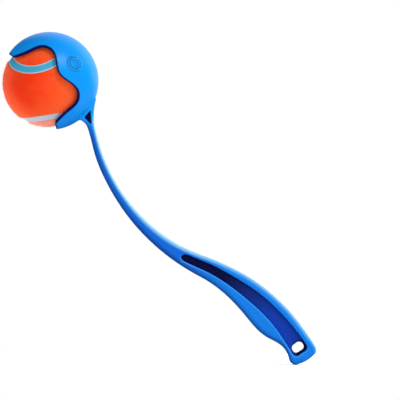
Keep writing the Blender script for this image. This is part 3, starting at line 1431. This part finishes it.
def store_warm(mesh):
    """How warm the felt's tone is, which is least round a spot on its open side."""
    away = (mesh_points(mesh) - BALL_CENTRE) / BALL_RADIUS - np.array(COOL_SPOT)
    store(mesh, "warm", soft_rise(np.linalg.norm(away, axis=1), *WARM_SPAN))


class LAUNCHER_OT_felt_panels(bpy.types.Operator):
    """Build the ball's two felt panels, with their nap"""

    bl_idname = "launcher.felt_panels"
    bl_label = "Felt Panels"

    def execute(self, context):
        settings = context.scene.launcher
        ball = settings.ball
        seam = SeamCurve(ball)
        material = ball_felt(settings.finish)
        near_side = math.copysign(1, seam.offset(np.array([[0.0, -1.0, 0.0]]))[0])
        for index, (name, side) in enumerate((("felt_panel_a", near_side), ("felt_panel_b", -near_side))):
            field = felt_field(seam, ball, side)
            mesh = felt_mesh(name + "_skin", field)
            points = mesh_points(mesh)
            slope, _ = gradient(field, points)
            mesh.normals_split_custom_set_from_vertices(unit(slope).tolist())
            radius = np.linalg.norm(points, axis=1)
            store(mesh, "outer", (radius > BALL_RADIUS - NAP_DEPTH).astype(float))
            mesh.transform(Matrix.Translation(BALL_CENTRE))
            panel = add_object(mesh.name, mesh)
            grown(
                panel,
                felt_nap(),
                Density=ball.nap_density,
                Length=ball.nap_length,
                Thickness=ball.nap_thickness,
                Least=ball.nap_sizes[0],
                Greatest=ball.nap_sizes[1],
                Lean=ball.nap_lean,
                Seed=ball.nap_seed + index,
                Material=material,
            )
            store_worn(panel.data, FELT_WORN)
            store_warm(panel.data)
            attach(panel, "ball")
            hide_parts(name)
        return {"FINISHED"}


class LAUNCHER_OT_seam_band(bpy.types.Operator):
    """Build the band along the ball's seam"""

    bl_idname = "launcher.seam_band"
    bl_label = "Seam Band"

    def execute(self, context):
        settings = context.scene.launcher
        ball = settings.ball
        seam = SeamCurve(ball)
        ways = seam.spot(np.linspace(0, FULL_TURN, ball.seam_points, endpoint=False)) @ seam.tilt.T
        height = ball.felt - ball.seam_recess
        middle = BALL_RADIUS - ball.seam_recess - height / 2
        band = loop_object("seam_band_skin", (BALL_CENTRE + middle * ways, ways))
        grown(
            band,
            loop_band(),
            Width=ball.seam_width,
            Height=height,
            Corner=ball.seam_corner,
            Material=seam_rubber(settings.finish),
        )
        face_outwards(band.data)
        store_worn(band.data, SEAM_WORN)
        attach(band, "ball")
        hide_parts("seam_band")
        return {"FINISHED"}


class LAUNCHER_OT_core(bpy.types.Operator):
    """Finish the core halves inside the felt"""

    bl_idname = "launcher.core"
    bl_label = "Ball Core"

    def execute(self, context):
        material = core_rubber(context.scene.launcher.finish)
        for name in ("core_half_a", "core_half_b"):
            half = frame["nodes"][name]
            half.data.materials.clear()
            half.data.materials.append(material)
        return {"FINISHED"}


# Badge: rounding of its rings' section as a share of its height, and how far they are painted dark
RING_CORNER_SHARE = 0.45
RING_SHADE = 0.95


class LAUNCHER_OT_badge(bpy.types.Operator):
    """Build the two plain raised rings on the cup's side"""

    bl_idname = "launcher.badge"
    bl_label = "Badge Rings"

    def execute(self, context):
        settings = context.scene.launcher
        cup = settings.cup
        form = LauncherForm(settings.stem, cup)
        way = Vector(cup.badge_way).normalized()
        right = way.cross(Vector((0, 0, 1))).normalized()
        up = right.cross(way)
        turns = np.linspace(0, FULL_TURN, RING_POINTS, endpoint=False)
        circle = np.cos(turns)[:, None] * np.array(right) + np.sin(turns)[:, None] * np.array(up)
        loops = []
        for radius in cup.badge_radii:
            spread = radius / form.outer
            ways = math.cos(spread) * np.array(way) + math.sin(spread) * circle
            loops.append((form.centre + form.outer * ways, ways))
        ring = loop_object("badge_rings", *loops)
        grown(
            ring,
            loop_band(),
            Width=cup.badge_width,
            Height=cup.badge_height,
            Corner=cup.badge_height * RING_CORNER_SHARE,
            Material=bpy.data.materials["launcher_plastic"],
        )
        face_outwards(ring.data)
        store(ring.data, "cup_share", np.ones(len(ring.data.vertices)))
        store(ring.data, "recess", np.full(len(ring.data.vertices), RING_SHADE))
        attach(ring, "cup")
        return {"FINISHED"}


# Stage

WHITE = (1, 1, 1, 1)
# How far the camera sees, in distances from it to the launcher
CLIP_SHARE = 4


def area_light(name, place, aim, size, power):
    """Soft rectangular light that faces a point."""
    lamp = bpy.data.lights.new(name, "AREA")
    lamp.shape = "RECTANGLE"
    lamp.size, lamp.size_y = size
    lamp.energy = power
    light = bpy.data.objects.new(name, lamp)
    light.location = place
    light.rotation_euler = (aim - place).to_track_quat("-Z", "Y").to_euler()
    bpy.context.scene.collection.objects.link(light)
    return light


def seen_directly(tree):
    """One where the camera, a reflection or a clear body sees the surface; returns the output socket."""
    path = put(tree, "ShaderNodeLightPath").outputs
    seen = math_node(tree, "MAXIMUM", path["Is Camera Ray"], path["Is Glossy Ray"])
    return math_node(tree, "MAXIMUM", seen, path["Is Transmission Ray"])


def add_floor(stage, aim):
    """Floor that keeps the launcher's shadow and turns white away from it."""
    half = stage.floor_size / 2
    corners = [(-half, -half), (half, -half), (half, half), (-half, half)]
    points = np.array([(aim.x + x, y, FLOOR_LEVEL) for x, y in corners])
    floor = add_object("studio_floor", plain_mesh("studio_floor", points, np.array([[0, 1, 2, 3]])))
    material, tree, shader, place = new_material("studio_floor")
    tone = tuple(stage.floor_tone)
    base = mottled(tree, place, scale=3, first=tone, second=scaled(FLOOR_MOTTLE, tone), amount=1)
    tree.links.new(base, shader.inputs["Base Color"])
    set_inputs(shader, Roughness=0.9, Specular_IOR_Level=0.1, Emission_Color=WHITE)
    middle = (aim.x, 0, FLOOR_LEVEL)
    spread = put(tree, "ShaderNodeVectorMath", {0: place, 1: middle}, operation="DISTANCE").outputs["Value"]
    lift = ranged(tree, spread, *stage.floor_fade, stage.floor_lift, 1)
    lift = math_node(tree, "MULTIPLY", seen_directly(tree), lift)
    tree.links.new(lift, shader.inputs["Emission Strength"])
    floor.data.materials.append(material)
    floor.visible_glossy = False
    return floor


def add_surroundings(stage):
    """World that is white to the camera, mirrored white from one side only, and dim as light."""
    world = bpy.data.worlds.new("studio_white")
    world.use_nodes = True
    tree = world.node_tree
    sky = tree.nodes["Background"]
    sky.inputs["Color"].default_value = WHITE
    path = put(tree, "ShaderNodeLightPath").outputs
    way = put(tree, "ShaderNodeTexCoord").outputs["Generated"]
    inputs = {0: way, 1: tuple(stage.mirror_way)}
    towards = put(tree, "ShaderNodeVectorMath", inputs, operation="DOT_PRODUCT").outputs["Value"]
    seen = math_node(tree, "MAXIMUM", path["Is Camera Ray"], path["Is Transmission Ray"])
    whiter = ranged(tree, towards, *stage.mirror_span)
    mirrored_white = math_node(tree, "MULTIPLY", path["Is Glossy Ray"], whiter)
    plain = math_node(tree, "MULTIPLY", path["Is Diffuse Ray"], stage.ambient)
    strength = math_node(tree, "MAXIMUM", math_node(tree, "MAXIMUM", seen, mirrored_white), plain)
    tree.links.new(strength, sky.inputs["Strength"])
    return world


def add_camera(stage, aim):
    """Camera square on to the launcher's middle plane."""
    camera = bpy.data.cameras.new("studio_camera")
    camera.sensor_width = 36
    camera.lens = camera.sensor_width * stage.distance / stage.field
    camera.clip_end = CLIP_SHARE * stage.distance
    eye = bpy.data.objects.new("studio_camera", camera)
    eye.location = aim - Vector((0, stage.distance, 0))
    eye.rotation_euler = (math.pi / 2, 0, 0)
    bpy.context.scene.collection.objects.link(eye)
    return eye


class LAUNCHER_OT_stage(bpy.types.Operator):
    """Set up the floor, the lights, the white surroundings and the camera"""

    bl_idname = "launcher.stage"
    bl_label = "Studio Stage"

    def execute(self, context):
        scene = context.scene
        stage = scene.launcher.stage
        aim = Vector(stage.aim)
        floor = add_floor(stage, aim)
        floor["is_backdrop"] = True
        scene.world = add_surroundings(stage)
        for name, in_mirror in (("key", True), ("fill", False), ("rim", False), ("low_rim", False)):
            place = aim + Vector(getattr(stage, name + "_place"))
            size = getattr(stage, name + "_size")
            light = area_light(name, place, aim, size, getattr(stage, name + "_power"))
            light.visible_glossy = in_mirror
        scene.camera = add_camera(stage, aim)
        scene.view_settings.view_transform = "Standard"
        return {"FINISHED"}


OPERATORS = (
    LAUNCHER_OT_stage,
    LAUNCHER_OT_moulding,
    LAUNCHER_OT_badge,
    LAUNCHER_OT_core,
    LAUNCHER_OT_seam_band,
    LAUNCHER_OT_felt_panels,
)


class LAUNCHER_PT_panel(bpy.types.Panel):
    """Sidebar panel with the launcher's settings and pieces"""

    bl_idname = "LAUNCHER_PT_panel"
    bl_label = "Ball Launcher"
    bl_space_type = "VIEW_3D"
    bl_region_type = "UI"
    bl_category = "Launcher"

    def draw(self, context):
        settings = context.scene.launcher
        for operator in OPERATORS:
            self.layout.operator(operator.bl_idname)
        for label in ("stem", "cup", "ball", "finish", "stage"):
            box = self.layout.box()
            box.label(text=label.capitalize())
            group = getattr(settings, label)
            for row in group.bl_rna.properties:
                if row.identifier not in ("rna_type", "name"):
                    box.prop(group, row.identifier)


CLASSES = (
    StemSizes,
    CupSizes,
    BallSizes,
    Finishes,
    StageSettings,
    LauncherSettings,
    *OPERATORS,
    LAUNCHER_PT_panel,
)


def register():
    for cls in CLASSES:
        bpy.utils.register_class(cls)
    bpy.types.Scene.launcher = PointerProperty(
        type=LauncherSettings, name="Launcher", description="Settings of the ball launcher"
    )


def unregister():
    del bpy.types.Scene.launcher
    for cls in reversed(CLASSES):
        bpy.utils.unregister_class(cls)


def main():
    register()
    bpy.ops.launcher.stage()
    bpy.ops.launcher.moulding()
    bpy.ops.launcher.badge()
    bpy.ops.launcher.core()
    bpy.ops.launcher.seam_band()
    bpy.ops.launcher.felt_panels()
    boxes = {"cad": CAD_BOX, "visual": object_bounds()}
    {name: [list(corner) for corner in box] for name, box in boxes.items()}


if __name__ == "__main__":
    main()
